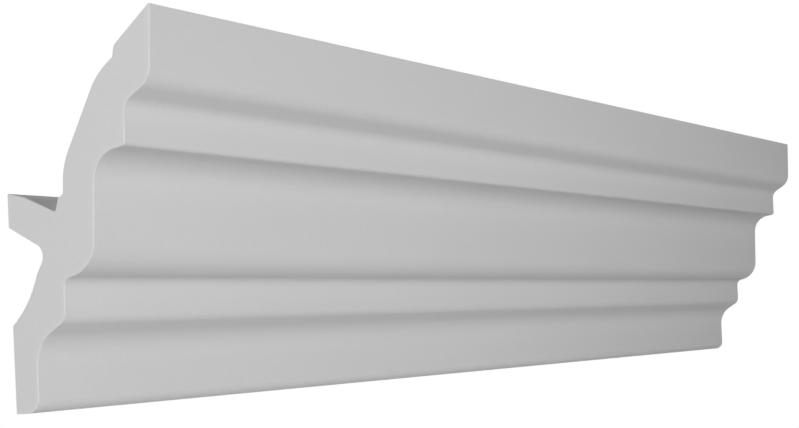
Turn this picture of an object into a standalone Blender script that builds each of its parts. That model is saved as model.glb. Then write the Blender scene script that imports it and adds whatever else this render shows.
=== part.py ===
"""A length of crown moulding: one constant section, cut square at both ends.

X runs along the length, the moulded front faces -Y, and the wall is the plane Y = 0. The origin is at
mid-length, at the middle of the flat pad that the moulding is glued by. The section is drawn as corners of
(out, up): the distance out from the wall and the height above the bottom edge, each with the radius that
rounds it. The front is drawn first, from the bottom up, and the back follows it at the shell's thickness.
"""

import math
from collections import namedtuple

import bmesh
import bpy
from mathutils import Vector

# The length, and the thickness of the material.
LENGTH = 0.762
PAD_THICKNESS = 0.0113
SHELL_THICKNESS = 0.0155
LOWER_SHELL_THICKNESS = 0.0146

# The five flat faces of the front, from the bottom up. Each leans in towards the wall at its foot.
FOOT_FACE_HEIGHT = 0.0264
LOWER_BAND_HEIGHT = 0.0158
MIDDLE_FASCIA_HEIGHT = 0.0431
UPPER_BAND_HEIGHT = 0.0158
TOP_FASCIA_HEIGHT = 0.0289
BAND_LEAN = math.radians(1.6)
FASCIA_LEAN = math.radians(3.3)

# The four steps between them: how far each stands out, and how far it rises on the way.
LOWER_COVE_OUT = 0.0144
LOWER_COVE_RISE = 0.0082
OVOLO_OUT = 0.0148
OVOLO_RISE = 0.0024
UPPER_COVE_OUT = 0.0150
UPPER_COVE_RISE = 0.0022
OGEE_OUT = 0.0126
OGEE_RISE = 0.0072

# The rounds of the front, from the bottom up.
BOTTOM_ROUND = 0.0052
LOWER_COVE_RADIUS = 0.0140
LOWER_BAND_ROUND = 0.0054
OVOLO_ROOT_RADIUS = 0.0040
OVOLO_RADIUS = 0.0135
UPPER_COVE_RADIUS = 0.0118
UPPER_BAND_ROUND = 0.0018
OGEE_ROOT_RADIUS = 0.0066
OGEE_RADIUS = 0.0099

# The sloping top face behind the front edge, and the small step below it.
TOP_SLOPE_DEPTH = 0.0181
TOP_SLOPE = math.radians(37.6)
TOP_SLOPE_ROUND = 0.0050
STEP_HEIGHT = 0.0043
STEP_IN = 0.0007

# The hollow behind the shell, above the rib.
HOLLOW_HEAD_SLOPE = math.radians(32.4)
HOLLOW_SLOPE = math.radians(60.8)
HOLLOW_BEND_RADIUS = 0.0270

# The rib that reaches back to the wall, a little above the middle fascia's middle.
RIB_FOOT_HEIGHT = 0.0134
RIB_ABOVE_MIDDLE = 0.0044
RIB_UNDERSIDE_SLOPE = math.radians(29.0)
RIB_TOP_SLOPE = math.radians(15.2)
RIB_BEND_OUT = 0.0085
RIB_BEND_RADIUS = 0.0120

# The notch in the rib's top where it meets the shell, and the narrow ledge above it.
NOTCH_SLOPE = math.radians(24.3)
NOTCH_WIDTH = 0.0041
NOTCH_DEPTH = 0.0051
NOTCH_RADIUS = 0.0010
LEDGE_WIDTH = 0.0026
LEDGE_RISE = 0.0016
LEDGE_ROUND = 0.0006

# The pocket under the rib, and the bank that leads down from it to the pad.
POCKET_DEPTH = 0.0187
POCKET_RADIUS = 0.0051
POCKET_SLOPE = math.radians(70.9)
POCKET_BEND_RADIUS = 0.0047
BANK_SLOPE = math.radians(39.2)
BANK_RADIUS = 0.0400

# Edges that are crisp but not knife sharp, how deep an arc's chords may cut, and what shades as an edge.
EDGE_ROUND = 0.0004
CHORD_SAG = 0.000003
SHARP_ANGLE = math.radians(40.0)

PRIMER_GREY = (0.62, 0.62, 0.62, 1.0)
PRIMER_ROUGHNESS = 0.6

LEVEL = 0.0
UPRIGHT = math.pi / 2

Corner = namedtuple("Corner", "point radius")


def heading(slope):
    """The direction that climbs at a slope, out from the wall."""
    return Vector((math.cos(slope), math.sin(slope)))


def meet(point_a, slope_a, point_b, slope_b):
    """Where two straight lines cross, each given by a point and a slope."""
    along_a = heading(slope_a)
    along_b = heading(slope_b)
    gap = point_b - point_a
    return point_a + along_a * (gap.cross(along_b) / along_a.cross(along_b))


def arc_centre(before, corner, after, radius):
    """The centre of the arc that rounds a corner between its two neighbours."""
    to_before = (before - corner).normalized()
    to_after = (after - corner).normalized()
    half_angle = to_before.angle(to_after) / 2
    return corner + (to_before + to_after).normalized() * (radius / math.sin(half_angle))


def point_behind(centre, distance, slope):
    """A point of the line of this slope that passes a distance behind an arc's centre."""
    return centre + heading(slope + UPRIGHT) * distance


def front_corners():
    """The moulded front by name, from the bottom edge up to the top edge."""
    place = Vector((PAD_THICKNESS, 0.0))
    front = {"bottom_edge": Corner(place, BOTTOM_ROUND)}

    def climb(name, out, up, radius):
        nonlocal place
        place = place + Vector((out, up))
        front[name] = Corner(place, radius)

    def climb_face(name, height, lean, radius):
        climb(name, height * math.tan(lean), height, radius)

    climb_face("foot_face_head", FOOT_FACE_HEIGHT, BAND_LEAN, LOWER_COVE_RADIUS)
    climb("lower_band_foot", LOWER_COVE_OUT, LOWER_COVE_RISE, LOWER_BAND_ROUND)
    climb_face("lower_band_head", LOWER_BAND_HEIGHT, BAND_LEAN, OVOLO_ROOT_RADIUS)
    climb("middle_fascia_foot", OVOLO_OUT, OVOLO_RISE, OVOLO_RADIUS)
    climb_face("middle_fascia_head", MIDDLE_FASCIA_HEIGHT, FASCIA_LEAN, UPPER_COVE_RADIUS)
    climb("upper_band_foot", UPPER_COVE_OUT, UPPER_COVE_RISE, UPPER_BAND_ROUND)
    climb_face("upper_band_head", UPPER_BAND_HEIGHT, BAND_LEAN, OGEE_ROOT_RADIUS)
    climb("top_fascia_foot", OGEE_OUT, OGEE_RISE, OGEE_RADIUS)
    climb_face("top_edge", TOP_FASCIA_HEIGHT, FASCIA_LEAN, EDGE_ROUND)
    return front


def top_corners(top_edge):
    """The sloping top face and the step below it, going back from the top edge."""
    slope_foot = top_edge - heading(TOP_SLOPE) * (TOP_SLOPE_DEPTH / math.cos(TOP_SLOPE))
    step_foot = slope_foot - Vector((STEP_IN, STEP_HEIGHT))
    return [Corner(slope_foot, TOP_SLOPE_ROUND), Corner(step_foot, 0.0)]


def hollow_corners(front, step_foot):
    """The back of the shell, from the step's foot down to the rib."""
    fascia_head = front["middle_fascia_head"].point
    cove = arc_centre(
        front["middle_fascia_foot"].point, fascia_head, front["upper_band_foot"].point, UPPER_COVE_RADIUS
    )
    behind_cove = point_behind(cove, UPPER_COVE_RADIUS + SHELL_THICKNESS, HOLLOW_SLOPE)
    behind_fascia = fascia_head - Vector((SHELL_THICKNESS, 0.0))
    head = meet(step_foot, HOLLOW_HEAD_SLOPE, behind_cove, HOLLOW_SLOPE)
    foot = meet(behind_cove, HOLLOW_SLOPE, behind_fascia, UPRIGHT - FASCIA_LEAN)
    return [Corner(head, HOLLOW_BEND_RADIUS), Corner(foot, HOLLOW_BEND_RADIUS)]


def rib_corners(front):
    """The rib, from where its top meets the shell, round its foot on the wall, to the pocket under it."""
    fascia_foot = front["middle_fascia_foot"].point
    fascia_head = front["middle_fascia_head"].point
    foot_middle = (fascia_foot.y + fascia_head.y) / 2 + RIB_ABOVE_MIDDLE
    foot_top = Vector((0.0, foot_middle + RIB_FOOT_HEIGHT / 2))
    foot_bottom = Vector((0.0, foot_middle - RIB_FOOT_HEIGHT / 2))
    shell_back = meet(fascia_head, UPRIGHT - FASCIA_LEAN, foot_top, LEVEL).x - SHELL_THICKNESS
    bend = Vector((RIB_BEND_OUT, foot_top.y - RIB_BEND_OUT * math.tan(RIB_TOP_SLOPE)))
    notch = meet(bend, -NOTCH_SLOPE, Vector((shell_back - NOTCH_WIDTH, 0.0)), UPRIGHT)
    ledge = Vector((shell_back - LEDGE_WIDTH, notch.y + NOTCH_DEPTH))
    shell_foot = Vector((shell_back, ledge.y + LEDGE_RISE))
    pocket = meet(foot_bottom, -RIB_UNDERSIDE_SLOPE, Vector((POCKET_DEPTH, 0.0)), UPRIGHT)
    return [
        Corner(shell_foot, LEDGE_ROUND),
        Corner(ledge, LEDGE_ROUND),
        Corner(notch, NOTCH_RADIUS),
        Corner(bend, RIB_BEND_RADIUS),
        Corner(foot_top, EDGE_ROUND),
        Corner(foot_bottom, EDGE_ROUND),
        Corner(pocket, POCKET_RADIUS),
    ]


def bank_corners(front):
    """The pocket's lower side, down to the top of the pad that lies flat on the wall."""
    face_head = front["foot_face_head"].point
    band_foot = front["lower_band_foot"].point
    band_head = front["lower_band_head"].point
    fascia_foot = front["middle_fascia_foot"].point
    root = arc_centre(band_foot, band_head, fascia_foot, OVOLO_ROOT_RADIUS)
    cove = arc_centre(front["bottom_edge"].point, face_head, band_foot, LOWER_COVE_RADIUS)
    behind_root = point_behind(root, OVOLO_ROOT_RADIUS + LOWER_SHELL_THICKNESS, POCKET_SLOPE)
    behind_cove = point_behind(cove, LOWER_COVE_RADIUS + LOWER_SHELL_THICKNESS, BANK_SLOPE)
    bend = meet(behind_root, POCKET_SLOPE, fascia_foot, LEVEL)
    bank_head = meet(behind_root, POCKET_SLOPE, behind_cove, BANK_SLOPE)
    pad_top = meet(behind_cove, BANK_SLOPE, Vector((0.0, 0.0)), UPRIGHT)
    return [
        Corner(bend, POCKET_BEND_RADIUS),
        Corner(bank_head, BANK_RADIUS),
        Corner(pad_top, EDGE_ROUND),
    ]


def section_corners():
    """Every corner of the section, once round, and the height of the pad's middle."""
    front = front_corners()
    top = top_corners(front["top_edge"].point)
    hollow = hollow_corners(front, top[-1].point)
    rib = rib_corners(front)
    bank = bank_corners(front)
    pad_bottom = Corner(Vector((0.0, 0.0)), EDGE_ROUND)
    corners = list(front.values()) + top + hollow + rib + bank + [pad_bottom]
    return corners, bank[-1].point.y / 2


def arc_reaches(corners):
    """How far each arc reaches along the sides of its corner, kept within the length of those sides."""
    sides = []
    wanted = []
    for corner, before, after in neighbours(corners):
        to_before = before - corner.point
        to_after = after - corner.point
        sides.append(to_after.length)
        wanted.append(corner.radius / math.tan(to_before.angle(to_after) / 2))
    reaches = list(wanted)
    for here, side in enumerate(sides):
        following = (here + 1) % len(corners)
        share = min(1.0, side / max(wanted[here] + wanted[following], side))
        reaches[here] = min(reaches[here], wanted[here] * share)
        reaches[following] = min(reaches[following], wanted[following] * share)
    return reaches


def neighbours(corners):
    """Each corner, with the points before it and after it."""
    points = [corner.point for corner in corners]
    return zip(corners, points[-1:] + points[:-1], points[1:] + points[:1])


def arc_points(centre, first, last):
    """Points along an arc about a centre, from its first point round to its last."""
    radius = (first - centre).length
    start = math.atan2(first.y - centre.y, first.x - centre.x)
    finish = math.atan2(last.y - centre.y, last.x - centre.x)
    turn = (finish - start + math.pi) % (2 * math.pi) - math.pi
    longest_step = 2 * math.acos(max(0.0, 1 - CHORD_SAG / radius))
    chords = max(2, math.ceil(abs(turn) / longest_step))
    angles = (start + turn * chord / chords for chord in range(chords + 1))
    return [centre + heading(angle) * radius for angle in angles]


def rounded_outline(corners):
    """The section's outline as points, with each rounded corner cut into short chords."""
    outline = []
    for (corner, before, after), reach in zip(neighbours(corners), arc_reaches(corners)):
        if reach == 0.0:
            outline.append(corner.point)
            continue
        first = corner.point + (before - corner.point).normalized() * reach
        last = corner.point + (after - corner.point).normalized() * reach
        half_angle = (first - corner.point).angle(last - corner.point) / 2
        centre = arc_centre(first, corner.point, last, reach * math.tan(half_angle))
        outline += arc_points(centre, first, last)
    return outline


def moulding_mesh(outline, pad_middle):
    """The outline set upright with its back to the wall, drawn out along the length."""
    shape = bmesh.new()
    ring = [shape.verts.new((-LENGTH / 2, -point.x, point.y - pad_middle)) for point in outline]
    end_face = shape.faces.new(ring)
    drawn_out = bmesh.ops.extrude_face_region(shape, geom=[end_face])
    far_ring = [item for item in drawn_out["geom"] if isinstance(item, bmesh.types.BMVert)]
    bmesh.ops.translate(shape, verts=far_ring, vec=(LENGTH, 0.0, 0.0))
    bmesh.ops.recalc_face_normals(shape, faces=shape.faces)
    mesh = bpy.data.meshes.new("crown_moulding")
    shape.to_mesh(mesh)
    shape.free()
    mesh.shade_smooth()
    mesh.set_sharp_from_angle(angle=SHARP_ANGLE)
    return mesh


def primer_material():
    """A matt off-white grey."""
    material = bpy.data.materials.new("primer_grey")
    material.use_nodes = True
    shader = material.node_tree.nodes["Principled BSDF"]
    shader.inputs["Base Color"].default_value = PRIMER_GREY
    shader.inputs["Roughness"].default_value = PRIMER_ROUGHNESS
    return material


def build_moulding():
    """The whole moulding, as one object with its origin at the pad's middle."""
    corners, pad_middle = section_corners()
    mesh = moulding_mesh(rounded_outline(corners), pad_middle)
    mesh.materials.append(primer_material())
    moulding = bpy.data.objects.new("crown_moulding", mesh)
    bpy.context.scene.collection.objects.link(moulding)


def clear_scene():
    """Empties the scene of every object."""
    for old in list(bpy.data.objects):
        bpy.data.objects.remove(old, do_unlink=True)


clear_scene()
build_moulding()
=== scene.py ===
"""The looks of a crown moulding length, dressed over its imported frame.

The moulding shown here takes its section from the CAD node, so both keep one outline. It adds what the
plain solid leaves out: softened saw-cut edges, faces that shade flat between their rounds, a primed front,
a plainer moulded back and sawn ends. X runs along the length, the moulded front faces -Y, and Z is up.
Sizes are in metres.
"""

import math
from collections import namedtuple
from itertools import compress, product

import bmesh
import bpy
import numpy as np
from mathutils import Matrix, Vector
from mathutils.geometry import delaunay_2d_cdt


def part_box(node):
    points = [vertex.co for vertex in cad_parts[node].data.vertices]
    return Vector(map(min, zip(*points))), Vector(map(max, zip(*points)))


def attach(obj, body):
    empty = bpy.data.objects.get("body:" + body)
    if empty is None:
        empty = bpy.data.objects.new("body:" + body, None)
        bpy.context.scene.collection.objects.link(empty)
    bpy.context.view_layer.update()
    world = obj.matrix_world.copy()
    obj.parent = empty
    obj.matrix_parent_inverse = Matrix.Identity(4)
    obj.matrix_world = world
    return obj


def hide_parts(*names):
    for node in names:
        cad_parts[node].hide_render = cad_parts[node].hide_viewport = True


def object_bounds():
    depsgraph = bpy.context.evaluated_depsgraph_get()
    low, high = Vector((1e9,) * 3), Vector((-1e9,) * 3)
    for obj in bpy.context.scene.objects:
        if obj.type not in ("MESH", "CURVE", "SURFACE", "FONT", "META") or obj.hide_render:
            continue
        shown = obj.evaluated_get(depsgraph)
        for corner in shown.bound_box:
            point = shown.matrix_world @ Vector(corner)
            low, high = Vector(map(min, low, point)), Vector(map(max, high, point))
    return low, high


# The piece, and the CAD node that it stands for.
NODE = "crown_moulding"

# Points closer than this are one point. On a sawn end, where rows of points lie close, it is a tenth of that.
WELD = 0.000001
END_WELD = WELD / 10

# The softened edge of each sawn end, and the rows of points across it. A row leaves out the points that lie
# less than this share of its depth from the outline, as they do in a tight corner.
ARRIS_RADIUS = 0.0003
ARRIS_STEPS = 5
LEAST_ROW_DEPTH = 0.95

# The longest side of the outline, the grid over the sawn ends, and what shades as an edge.
LONGEST_SIDE = 0.0012
END_GRID = 0.0015
CREASE_ANGLE = math.radians(35.0)

# The kind of triangulation that fills the convex hull of its points.
WHOLE_HULL = 0

# The materials' places on the moulding.
FRONT, SAWN, BACK = range(3)

# A noise of scale 1 has blotches about this wide, and nearly all its values lie between these two.
NOISE_BLOTCH = 0.5
NOISE_LOW = 0.3
NOISE_HIGH = 0.7

# Primer over moulded foam: a matt light grey, with what little the eye finds in it close up.
PRIMER_GREY = 0.62
PRIMER_ROUGHNESS = 0.6
CLOUD_SIZE = 0.025
CLOUD_STRETCH = 4.0
CLOUD_CONTRAST = 0.012
SPECKLE_SIZE = 0.0009
SPECKLE_CONTRAST = 0.010
PEEL_SIZE = 0.0016
PEEL_HEIGHT = 0.000012
DRAW_LINE_WIDTH = 0.0011
DRAW_LINE_STRETCH = 300.0
DRAW_LINE_HEIGHT = 0.000004

# The back as it leaves the mould: duller and less even, with broader dimples.
BACK_GREY = 0.60
BACK_ROUGHNESS = 0.75
BACK_CLOUD_CONTRAST = 0.024
BACK_SPECKLE_CONTRAST = 0.020
DIMPLE_SIZE = 0.0045
DIMPLE_HEIGHT = 0.000060

# The sawn foam: fine cells, the marks of a mitre saw, and a lighter line at the front, partly primed skin and
# partly painted highlight.
SAWN_GREY = 0.62
SAWN_ROUGHNESS = 0.85
CELL_SIZE = 0.00035
CELL_DEPTH = 0.000025
SAW_PITCH = 0.0016
SAW_MARK_HEIGHT = 0.000006
SAW_CENTRE = (0.0, -0.115, -0.055)
SAW_WANDER = 0.0012
# The lighter front edge of the sawn ends, partly primed skin and partly painted highlight: how far in it
# reaches and how much it lifts.
SKIN_AND_HIGHLIGHT_WIDTH = 0.0024
SKIN_AND_HIGHLIGHT_LIFT = 0.04

# The camera of the photograph: level but for a small upward pitch, with the moulding leaning back.
PHOTO_WIDTH = 799
FOCAL_PIXELS = 1732.7
SENSOR_WIDTH_MM = 36.0
CAMERA_BEFORE_END = 0.5045
CAMERA_OUT = 0.4674
CAMERA_HEIGHT = 0.0017
CAMERA_YAW = math.radians(30.25)
CAMERA_PITCH = math.radians(2.26)
MOULDING_LEAN = math.radians(3.94)
NEAREST_SEEN = 0.01

# The floor, a storey below as under a real crown moulding, and the light that falls on it alone.
FLOOR_DROP = 2.3
FLOOR_RADIUS = 20.0
FLOOR_SIDES = 128
FLOOR_GREY = 0.85
FLOOR_ROUGHNESS = 0.6
FLOOR_LIGHT = 2.0
FLOOR_LIGHT_SPREAD = math.radians(40.0)

# The studio: a bright backdrop behind the moulding, and soft boxes aimed at it.
WHITE = (1.0, 1.0, 1.0, 1.0)
BACKDROP_LIGHT = 1.2
AIM = (-0.1, -0.04, 0.06)

Softbox = namedtuple("Softbox", "name place width height watts")
SOFTBOXES = (
    Softbox("front_softbox", (-0.3, -1.6, 0.05), 0.6, 1.9, 13.4),
    Softbox("high_softbox", (-0.3, -1.6, 0.9), 0.8, 0.8, 4.6),
    Softbox("side_softbox", (-1.9, -0.1, 0.55), 0.6, 1.5, 17.2),
    Softbox("low_softbox", (-0.7, -0.9, -0.6), 0.5, 0.5, 5.1),
    Softbox("far_softbox", (1.9, 0.5, 0.25), 0.6, 0.3, 6.0),
)

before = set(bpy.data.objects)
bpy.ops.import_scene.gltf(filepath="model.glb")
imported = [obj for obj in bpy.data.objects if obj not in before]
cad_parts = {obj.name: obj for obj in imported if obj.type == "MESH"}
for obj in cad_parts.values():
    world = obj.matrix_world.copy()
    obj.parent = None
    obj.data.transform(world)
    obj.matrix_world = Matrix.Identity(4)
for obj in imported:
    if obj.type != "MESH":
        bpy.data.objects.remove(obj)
cad_low, cad_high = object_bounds()


def sides_of(corners):
    """The sides of a loop of corners, each as the corner that it leaves and the corner that it reaches."""
    return zip(corners, corners[1:] + corners[:1])


def turns_left(ring):
    """Whether the ring goes round counter-clockwise, with the solid on its left."""
    return sum(here.cross(after) for here, after in sides_of(ring)) > 0


def points_beside(shape):
    """For each point of the left end's outline, the two points beside it."""
    left = min(vertex.co.x for vertex in shape.verts)
    on_end = {face for face in shape.faces if all(vertex.co.x - left < WELD for vertex in face.verts)}
    beside = {}
    for edge in shape.edges:
        if sum(face in on_end for face in edge.link_faces) == 1:
            first, second = edge.verts
            beside.setdefault(first, []).append(second)
            beside.setdefault(second, []).append(first)
    return beside


def section_ring(node):
    """The outline of the node's left end as points of (out, up), from the pad's bottom up the front."""
    shape = bmesh.new()
    shape.from_mesh(node.data)
    bmesh.ops.remove_doubles(shape, verts=shape.verts, dist=WELD)
    beside = points_beside(shape)
    start = min(beside, key=lambda vertex: vertex.co.z - vertex.co.y)
    walk = [start, beside[start][0]]
    while walk[-1] is not start:
        walk.append(next(vertex for vertex in beside[walk[-1]] if vertex is not walk[-2]))
    ring = [Vector((-vertex.co.y, vertex.co.z)) for vertex in walk[:-1]]
    shape.free()
    return ring if turns_left(ring) else ring[:1] + ring[:0:-1]


def evenly_split(ring):
    """The ring with its long sides cut into even short ones."""
    points = []
    for start, finish in sides_of(ring):
        shares = math.ceil((finish - start).length / LONGEST_SIDE)
        points += [start.lerp(finish, share / shares) for share in range(shares)]
    return points


def inward(ring):
    """For each point of the ring, the direction into the solid, halfway between its two sides."""
    directions = []
    for before, here, after in zip(ring[-1:] + ring[:-1], ring, ring[1:] + ring[:1]):
        along = ((here - before).normalized() + (after - here).normalized()).normalized()
        directions.append(Vector((-along.y, along.x)))
    return directions


def starts_and_runs(ring):
    """Where each side of the ring starts, and how it runs on to the next point."""
    starts = np.array(ring)
    return starts, np.roll(starts, -1, axis=0) - starts


def depths(points, ring):
    """How far each point lies from the nearest side of the ring."""
    starts, runs = starts_and_runs(ring)
    gaps = np.array(points)[:, None, :] - starts
    shares = np.clip((gaps * runs).sum(axis=2) / (runs * runs).sum(axis=1), 0.0, 1.0)
    return np.linalg.norm(gaps - shares[:, :, None] * runs, axis=2).min(axis=1)


def inside(points, ring):
    """Whether each point lies in the ring: a line across from it cuts the ring an odd number of times."""
    across, up = np.array(points).T[:, :, None]
    starts, runs = starts_and_runs(ring)
    # The line never passes a level side, so that side's rise only has to be other than zero.
    rises = np.where(runs[:, 1] == 0.0, WELD, runs[:, 1])
    crossings = starts[:, 0] + runs[:, 0] * (up - starts[:, 1]) / rises
    passes = (starts[:, 1] > up) != (starts[:, 1] + runs[:, 1] > up)
    return (passes & (crossings > across)).sum(axis=1) % 2 == 1


def arris_rows(ring):
    """Rows of points over the arris of a sawn end, which follow the outline at growing depths."""
    points = []
    for step in range(1, ARRIS_STEPS + 1):
        depth = ARRIS_RADIUS * (1 - math.cos(step / ARRIS_STEPS * math.pi / 2))
        row = [point + into * depth for point, into in zip(ring, inward(ring))]
        points += compress(row, inside(row, ring) & (depths(row, ring) > depth * LEAST_ROW_DEPTH))
    return points


def grid_points(ring):
    """An even grid of points over the rest of a sawn end."""
    across = [point.x for point in ring]
    up = [point.y for point in ring]
    columns = np.arange(min(across), max(across), END_GRID)
    rows = np.arange(min(up), max(up), END_GRID)
    grid = [Vector(place) for place in product(columns, rows)]
    clear = inside(grid, ring) & (depths(grid, ring) > ARRIS_RADIUS + END_GRID / 2)
    return list(compress(grid, clear))


def arris_drop(depth):
    """How far the sawn end has rounded away at a depth from its outline."""
    short = max(0.0, ARRIS_RADIUS - depth)
    return ARRIS_RADIUS - math.sqrt(ARRIS_RADIUS**2 - short**2)


def enclosed(triangles, outline):
    """The triangles inside an outline: those that are reached from its first side without crossing it."""
    owners = {side: place for place, triangle in enumerate(triangles) for side in sides_of(triangle)}
    walls = set(sides_of(outline))
    waiting = [owners[outline[0], outline[1]]]
    reached = set()
    while waiting:
        place = waiting.pop()
        if place in reached:
            continue
        reached.add(place)
        for leaves, reaches in sides_of(triangles[place]):
            if (leaves, reaches) not in walls:
                waiting.append(owners[reaches, leaves])
    return [triangles[place] for place in sorted(reached)]


def end_mesh(ring):
    """One sawn end as points, their depths from the outline and triangles, in the section's plane."""
    outline = list(range(len(ring)))
    given = ring + arris_rows(ring) + grid_points(ring)
    points, _, triangles, *_ = delaunay_2d_cdt(given, [], [outline], WHOLE_HULL, END_WELD, False)
    return points, depths(points, ring), enclosed(triangles, outline)


def highest_place(ring):
    """Which point of the ring is the highest. The front runs up to it, and the back runs down from it."""
    return max(range(len(ring)), key=lambda place: ring[place].y)


def skin_and_highlight_shares(points, ring):
    """How much each point of a sawn end is lightened, for primed skin and painted highlight: 1 at the front's
    outline, fading to 0 inwards.
    """
    front = np.array(ring[: highest_place(ring) + 1])
    gaps = np.linalg.norm(np.array(points)[:, None, :] - front, axis=2).min(axis=1)
    return np.clip(1 - gaps / SKIN_AND_HIGHLIGHT_WIDTH, 0.0, 1.0)


def add_lengthwise_faces(shape, ring, left, right):
    """The long faces between the two arrises, with a short stretch first and last."""
    highest = highest_place(ring)
    first = left + ARRIS_RADIUS
    last = right - ARRIS_RADIUS
    stations = (first, first + LONGEST_SIDE, last - LONGEST_SIDE, last)
    rings = [[shape.verts.new((x, -point.x, point.y)) for point in ring] for x in stations]
    for near, far in zip(rings, rings[1:]):
        for here in range(len(ring)):
            after = (here + 1) % len(ring)
            face = shape.faces.new((near[here], far[here], far[after], near[after]))
            face.material_index = FRONT if here < highest else BACK


def add_sawn_ends(shape, ring, left, right):
    """Both ends with their arrises. A float layer on the points holds the share of the lighter front edge:
    primed skin and painted highlight.
    """
    # The lighter front edge of each end is partly primed skin and partly a painted highlight on the arris.
    skin_and_highlight = shape.verts.layers.float.new("skin_and_highlight")
    points, depth_of, triangles = end_mesh(ring)
    skin_and_highlight_share_of = skin_and_highlight_shares(points, ring)
    for end, inward_x in ((left, 1), (right, -1)):
        corners = []
        for point, depth, share in zip(points, depth_of, skin_and_highlight_share_of):
            corner = shape.verts.new((end + inward_x * arris_drop(depth), -point.x, point.y))
            corner[skin_and_highlight] = share
            corners.append(corner)
        for triangle in triangles:
            face = shape.faces.new([corners[place] for place in triangle])
            face.material_index = SAWN


def moulding_mesh(ring, left, right):
    """The moulding between two places along X, as one closed mesh."""
    shape = bmesh.new()
    add_sawn_ends(shape, ring, left, right)
    add_lengthwise_faces(shape, ring, left, right)
    bmesh.ops.remove_doubles(shape, verts=shape.verts, dist=WELD)
    bmesh.ops.recalc_face_normals(shape, faces=shape.faces)
    mesh = bpy.data.meshes.new("primed_moulding")
    shape.to_mesh(mesh)
    shape.free()
    mesh.shade_smooth()
    mesh.set_sharp_from_angle(angle=CREASE_ANGLE)
    return mesh


def add_moulding():
    """The dressed moulding, in place of the plain CAD node."""
    low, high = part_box(NODE)
    ring = evenly_split(section_ring(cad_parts[NODE]))
    mesh = moulding_mesh(ring, low.x, high.x)
    for material in (primed_front(), sawn_end(), moulded_back()):
        mesh.materials.append(material)
    moulding = bpy.data.objects.new("primed_moulding", mesh)
    bpy.context.scene.collection.objects.link(moulding)
    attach(moulding, "root")
    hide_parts(NODE)


def add_node(tree, kind, sockets, **settings):
    """A new node's first output. A socket takes a value, or the output that it is joined to."""
    node = tree.nodes.new(kind)
    for name, setting in settings.items():
        setattr(node, name, setting)
    for name, value in sockets.items():
        if isinstance(value, bpy.types.NodeSocket):
            tree.links.new(value, node.inputs[name])
        else:
            node.inputs[name].default_value = value
    return node.outputs[0]


def calculate(tree, operation, *values):
    """The result of one operation on numbers or outputs."""
    return add_node(tree, "ShaderNodeMath", dict(enumerate(values)), operation=operation)


def surface_place(tree):
    """Where on the moulding a point lies, in metres."""
    return tree.nodes.new("ShaderNodeTexCoord").outputs["Object"]


def blotches(tree, size, stretch=1.0):
    """Soft noise from about -1 to 1, in blotches of this size, drawn out along the length by the stretch."""
    squeeze = {0: surface_place(tree), 1: (1 / stretch, 1.0, 1.0)}
    place = add_node(tree, "ShaderNodeVectorMath", squeeze, operation="MULTIPLY")
    waves = {"Vector": place, "Scale": NOISE_BLOTCH / size, "Detail": 1.0}
    noise = add_node(tree, "ShaderNodeTexNoise", waves)
    spread = {"Value": noise, "From Min": NOISE_LOW, "From Max": NOISE_HIGH, "To Min": -1.0, "To Max": 1.0}
    return add_node(tree, "ShaderNodeMapRange", spread)


def raised(tree, height, pattern, below=None):
    """A surface normal that follows a pattern of this height in metres, over the normal below it."""
    sockets = {"Height": pattern, "Distance": height, "Strength": 1.0}
    if below is not None:
        sockets["Normal"] = below
    return add_node(tree, "ShaderNodeBump", sockets)


def varied_grey(tree, grey, *swings):
    """A grey that each pattern lifts and lowers by its contrast."""
    share = 1.0
    for pattern, contrast in swings:
        share = calculate(tree, "MULTIPLY_ADD", pattern, contrast, share)
    return calculate(tree, "MULTIPLY", share, grey)


def new_material(name, roughness):
    """A material of one roughness, with its node tree and its shader."""
    material = bpy.data.materials.new(name)
    material.use_nodes = True
    shader = material.node_tree.nodes["Principled BSDF"]
    shader.inputs["Roughness"].default_value = roughness
    return material, material.node_tree, shader


def primed_front():
    """Factory primer over moulded foam: faint clouds, a fine peel and faint lines from the draw."""
    material, tree, shader = new_material("primed_front", PRIMER_ROUGHNESS)
    clouds = blotches(tree, CLOUD_SIZE, CLOUD_STRETCH)
    speckle = blotches(tree, SPECKLE_SIZE)
    grey = varied_grey(tree, PRIMER_GREY, (clouds, CLOUD_CONTRAST), (speckle, SPECKLE_CONTRAST))
    peel = raised(tree, PEEL_HEIGHT, blotches(tree, PEEL_SIZE))
    lines = raised(tree, DRAW_LINE_HEIGHT, blotches(tree, DRAW_LINE_WIDTH, DRAW_LINE_STRETCH), peel)
    tree.links.new(grey, shader.inputs["Base Color"])
    tree.links.new(lines, shader.inputs["Normal"])
    return material


def moulded_back():
    """The unpainted back: a duller grey with broad dimples."""
    material, tree, shader = new_material("moulded_back", BACK_ROUGHNESS)
    clouds = blotches(tree, CLOUD_SIZE, CLOUD_STRETCH)
    speckle = blotches(tree, SPECKLE_SIZE)
    grey = varied_grey(tree, BACK_GREY, (clouds, BACK_CLOUD_CONTRAST), (speckle, BACK_SPECKLE_CONTRAST))
    dimples = raised(tree, DIMPLE_HEIGHT, blotches(tree, DIMPLE_SIZE))
    tree.links.new(grey, shader.inputs["Base Color"])
    tree.links.new(dimples, shader.inputs["Normal"])
    return material


def saw_marks(tree):
    """Arcs from -1 to 1 about the middle of the blade, wandering a little."""
    from_centre = {0: surface_place(tree), 1: SAW_CENTRE}
    swept = add_node(tree, "ShaderNodeVectorMath", from_centre, operation="SUBTRACT")
    upright = add_node(tree, "ShaderNodeVectorMath", {0: swept, 1: (0.0, 1.0, 1.0)}, operation="MULTIPLY")
    length = add_node(tree, "ShaderNodeVectorMath", {0: upright}, operation="LENGTH").node.outputs["Value"]
    radius = calculate(tree, "MULTIPLY_ADD", blotches(tree, CLOUD_SIZE), SAW_WANDER, length)
    return calculate(tree, "SINE", calculate(tree, "MULTIPLY", radius, 2 * math.pi / SAW_PITCH))


def foam_cells(tree):
    """The cut cells of the foam, from 0 in a cell's middle up to its walls."""
    return add_node(tree, "ShaderNodeTexVoronoi", {"Vector": surface_place(tree), "Scale": 1 / CELL_SIZE})


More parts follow.
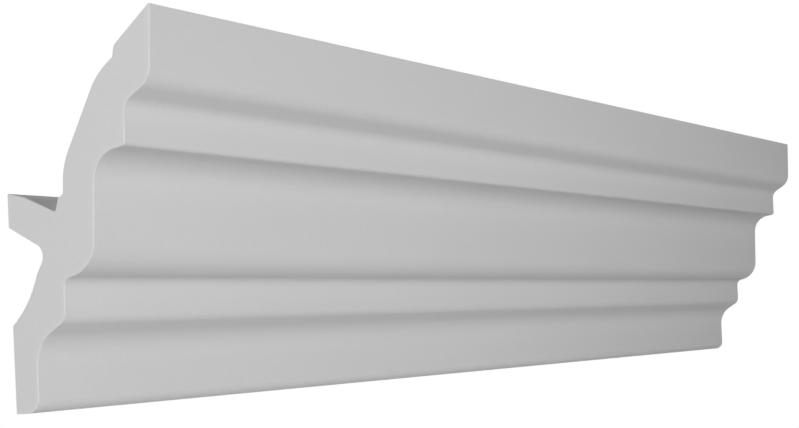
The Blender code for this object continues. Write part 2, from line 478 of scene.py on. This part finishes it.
def sawn_end():
    """The cut foam at each end, with a lighter front edge that is partly primed skin and partly painted
    highlight.
    """
    material, tree, shader = new_material("sawn_end", SAWN_ROUGHNESS)
    skin_and_highlight = tree.nodes.new("ShaderNodeAttribute")
    skin_and_highlight.attribute_name = "skin_and_highlight"
    speckle = blotches(tree, SPECKLE_SIZE)
    # Lifted along the front edge: primed skin together with a painted highlight on the arris.
    grey = varied_grey(tree, SAWN_GREY, (skin_and_highlight.outputs["Fac"], SKIN_AND_HIGHLIGHT_LIFT), (speckle, SPECKLE_CONTRAST))
    cells = raised(tree, CELL_DEPTH, foam_cells(tree))
    marks = raised(tree, SAW_MARK_HEIGHT, saw_marks(tree), cells)
    tree.links.new(grey, shader.inputs["Base Color"])
    tree.links.new(marks, shader.inputs["Normal"])
    return material


def painted_floor():
    """The pale floor's paint."""
    material, _, shader = new_material("pale_floor", FLOOR_ROUGHNESS)
    shader.inputs["Base Color"].default_value = (FLOOR_GREY, FLOOR_GREY, FLOOR_GREY, 1.0)
    return material


def add_camera():
    """The camera at the photograph's place, in the moulding's own frame."""
    data = bpy.data.cameras.new("photo_camera")
    data.lens = FOCAL_PIXELS / PHOTO_WIDTH * SENSOR_WIDTH_MM
    data.sensor_width = SENSOR_WIDTH_MM
    data.clip_start = NEAREST_SEEN
    camera = bpy.data.objects.new("photo_camera", data)
    place = Matrix.Translation((cad_low.x - CAMERA_BEFORE_END, -CAMERA_OUT, CAMERA_HEIGHT))
    lean = Matrix.Rotation(MOULDING_LEAN, 4, "X")
    turn = Matrix.Rotation(CAMERA_YAW - math.pi / 2, 4, "Z")
    tilt = Matrix.Rotation(math.pi / 2 + CAMERA_PITCH, 4, "X")
    camera.matrix_world = place @ lean @ turn @ tilt
    bpy.context.scene.collection.objects.link(camera)
    bpy.context.scene.camera = camera


def add_floor():
    """A plain pale floor, a storey below the moulding. It throws no light back up."""
    shape = bmesh.new()
    bmesh.ops.create_circle(shape, cap_ends=True, segments=FLOOR_SIDES, radius=FLOOR_RADIUS)
    mesh = bpy.data.meshes.new("floor")
    shape.to_mesh(mesh)
    shape.free()
    mesh.materials.append(painted_floor())
    floor = bpy.data.objects.new("floor", mesh)
    floor.location = (0.0, 0.0, cad_low.z - FLOOR_DROP)
    floor.visible_diffuse = False
    bpy.context.scene.collection.objects.link(floor)
    return floor


def add_floor_light(floor):
    """A broad even light from straight above that falls on the floor alone, and keeps it pale."""
    data = bpy.data.lights.new("floor_light", "SUN")
    data.angle = FLOOR_LIGHT_SPREAD
    data.energy = FLOOR_LIGHT
    light = bpy.data.objects.new("floor_light", data)
    bpy.context.scene.collection.objects.link(light)
    lit = bpy.data.collections.new("lit_by_floor_light")
    lit.objects.link(floor)
    light.light_linking.receiver_collection = lit


def add_softboxes():
    """The soft boxes, which give light but aren't seen themselves."""
    for box in SOFTBOXES:
        data = bpy.data.lights.new(box.name, "AREA")
        data.shape = "RECTANGLE"
        data.size = box.width
        data.size_y = box.height
        data.energy = box.watts
        light = bpy.data.objects.new(box.name, data)
        light.location = box.place
        light.rotation_euler = (Vector(AIM) - Vector(box.place)).to_track_quat("-Z", "Y").to_euler()
        light.visible_camera = False
        bpy.context.scene.collection.objects.link(light)


def add_world():
    """White wherever it is seen. As light it is a bright backdrop behind the moulding."""
    world = bpy.data.worlds.new("studio")
    world.use_nodes = True
    tree = world.node_tree
    background = tree.nodes["Background"]
    background.inputs["Color"].default_value = WHITE
    direction = tree.nodes.new("ShaderNodeTexCoord").outputs["Generated"]
    depth = add_node(tree, "ShaderNodeSeparateXYZ", {0: direction}).node.outputs["Y"]
    behind = calculate(tree, "MAXIMUM", depth, 0.0)
    lit = calculate(tree, "MULTIPLY", behind, BACKDROP_LIGHT)
    seen = tree.nodes.new("ShaderNodeLightPath").outputs["Is Camera Ray"]
    strength = add_node(tree, "ShaderNodeMapRange", {"Value": seen, "To Min": lit, "To Max": 1.0})
    tree.links.new(strength, background.inputs["Strength"])
    bpy.context.scene.world = world


bpy.context.scene.view_settings.view_transform = "Standard"
add_moulding()
add_camera()
add_floor_light(add_floor())
add_softboxes()
add_world()
